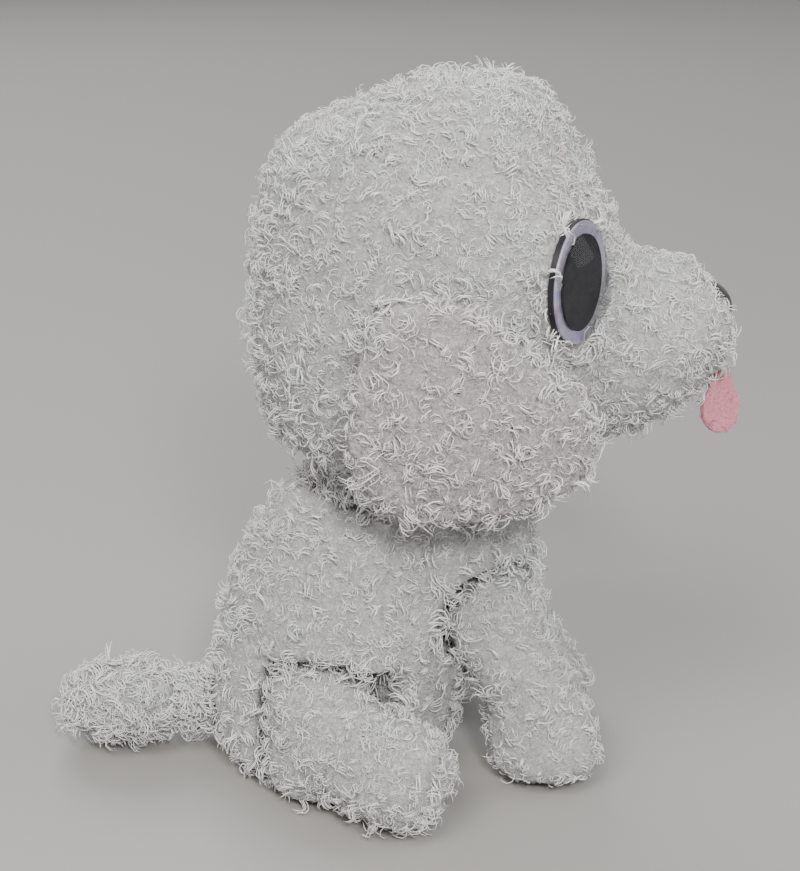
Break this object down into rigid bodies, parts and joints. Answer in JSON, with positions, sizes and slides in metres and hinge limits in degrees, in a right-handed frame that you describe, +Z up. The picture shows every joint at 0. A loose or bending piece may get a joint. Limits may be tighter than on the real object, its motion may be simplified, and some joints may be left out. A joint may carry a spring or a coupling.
{
  "type": "plush dog",
  "caption": "Small sitting plush dog with a large round head, drooping ears, domed eyes, a felt tongue and jointed soft limbs.",
  "frame": {"origin": "on the surface that the dog sits on, at the middle of its bounding box in X and Y", "axes": "+Z up, the dog faces -Y, its left side is +X; X = 0 is its middle plane"},
  "size_m": [0.0956, 0.1392, 0.1383],
  "materials": {
    "curly_plush": "white curly pile",
    "ear_plush": "curly pile, faintly warmer",
    "ear_lining": "short smooth pile",
    "short_plush": "short smooth pile",
    "stuffing": "loose polyester fibre",
    "pouch_cloth": "plain lining cloth",
    "pellets": "small plastic beads",
    "eye_lens": "clear moulded dome",
    "eye_iris": "lilac-silver foil disc",
    "eye_pupil": "black disc",
    "eye_base": "black moulded base and post",
    "washer": "push-on lock washer",
    "nose": "black moulded button",
    "tongue_felt": "pink felt"
  },
  "bodies": {
    "torso": {"body_side_left": "curly_plush", "body_side_right": "curly_plush", "chest_panel": "curly_plush", "seat_panel": "short_plush", "body_stuffing": "stuffing", "pellet_pouch": "pouch_cloth", "pellets": "pellets"},
    "neck": {"neck_stuffing": "stuffing", "neck_band": "short_plush"},
    "head": {"head_side_left": "curly_plush", "head_side_right": "curly_plush", "head_gusset": "curly_plush", "chin_panel": "curly_plush", "head_stuffing": "stuffing", "eye_base_left": "eye_base", "eye_iris_left": "eye_iris", "eye_pupil_left": "eye_pupil", "eye_lens_left": "eye_lens", "eye_washer_left": "washer", "eye_base_right": "eye_base", "eye_iris_right": "eye_iris", "eye_pupil_right": "eye_pupil", "eye_lens_right": "eye_lens", "eye_washer_right": "washer", "nose_button": "nose", "nose_washer": "washer"},
    "ear_left": {"ear_plush_left": "ear_plush", "ear_lining_left": "ear_lining"},
    "ear_right": {"ear_plush_right": "ear_plush", "ear_lining_right": "ear_lining"},
    "tongue": {"tongue": "tongue_felt"},
    "front_leg_left": {"front_leg_skin_left": "curly_plush", "front_leg_stuffing_left": "stuffing", "front_leg_sole_left": "short_plush"},
    "front_leg_right": {"front_leg_skin_right": "curly_plush", "front_leg_stuffing_right": "stuffing", "front_leg_sole_right": "short_plush"},
    "hind_leg_left": {"hind_leg_skin_left": "curly_plush", "hind_leg_stuffing_left": "stuffing", "hind_leg_sole_left": "short_plush"},
    "hind_leg_right": {"hind_leg_skin_right": "curly_plush", "hind_leg_stuffing_right": "stuffing", "hind_leg_sole_right": "short_plush"},
    "tail_root": {"tail_root": "stuffing"},
    "tail": {"tail_skin": "curly_plush", "tail_stuffing": "stuffing"}
  },
  "joints": [
    {"name": "head_turn", "type": "hinge", "parent": "torso", "child": "neck", "pos_m": [0, -0.004, 0.0635], "axis": [0, 0, 1], "range_deg": [-25, 25], "stiffness_Nm_per_rad": 0.3},
    {"name": "head_nod", "type": "hinge", "parent": "neck", "child": "head", "pos_m": [0, -0.004, 0.0635], "axis": [1, 0, 0], "range_deg": [-7, 8], "stiffness_Nm_per_rad": 0.6},
    {"name": "ear_lift_left", "type": "hinge", "parent": "head", "child": "ear_left", "pos_m": [0.0412, -0.005, 0.1065], "axis": [0, -1, 0], "range_deg": [0, 65]},
    {"name": "ear_lift_right", "type": "hinge", "parent": "head", "child": "ear_right", "pos_m": [-0.0412, -0.005, 0.1065], "axis": [0, 1, 0], "range_deg": [0, 65]},
    {"name": "tongue_lift", "type": "hinge", "parent": "head", "child": "tongue", "pos_m": [-0.0025, -0.0652, 0.082], "axis": [-0.5736, 0.8192, 0], "range_deg": [0, 45], "stiffness_Nm_per_rad": 0.0003},
    {"name": "front_leg_swing_left", "type": "hinge", "parent": "torso", "child": "front_leg_left", "pos_m": [0.0155, -0.021, 0.034], "axis": [-1, 0, 0], "range_deg": [-4, 25], "stiffness_Nm_per_rad": 0.08},
    {"name": "hind_leg_splay_left", "type": "hinge", "parent": "torso", "child": "hind_leg_left", "pos_m": [0.0215, 0.014, 0.012], "axis": [0, 0, 1], "range_deg": [-3, 15], "stiffness_Nm_per_rad": 0.08},
    {"name": "front_leg_swing_right", "type": "hinge", "parent": "torso", "child": "front_leg_right", "pos_m": [-0.0155, -0.021, 0.034], "axis": [-1, 0, 0], "range_deg": [-4, 25], "stiffness_Nm_per_rad": 0.08},
    {"name": "hind_leg_splay_right", "type": "hinge", "parent": "torso", "child": "hind_leg_right", "pos_m": [-0.0215, 0.014, 0.012], "axis": [0, 0, -1], "range_deg": [-3, 15], "stiffness_Nm_per_rad": 0.08},
    {"name": "tail_swing", "type": "hinge", "parent": "torso", "child": "tail_root", "pos_m": [0, 0.0385, 0.01], "axis": [0, 0, 1], "range_deg": [-28, 28], "stiffness_Nm_per_rad": 0.01},
    {"name": "tail_lift", "type": "hinge", "parent": "tail_root", "child": "tail", "pos_m": [0, 0.0385, 0.01], "axis": [1, 0, 0], "range_deg": [0, 35], "stiffness_Nm_per_rad": 0.01}
  ]
}
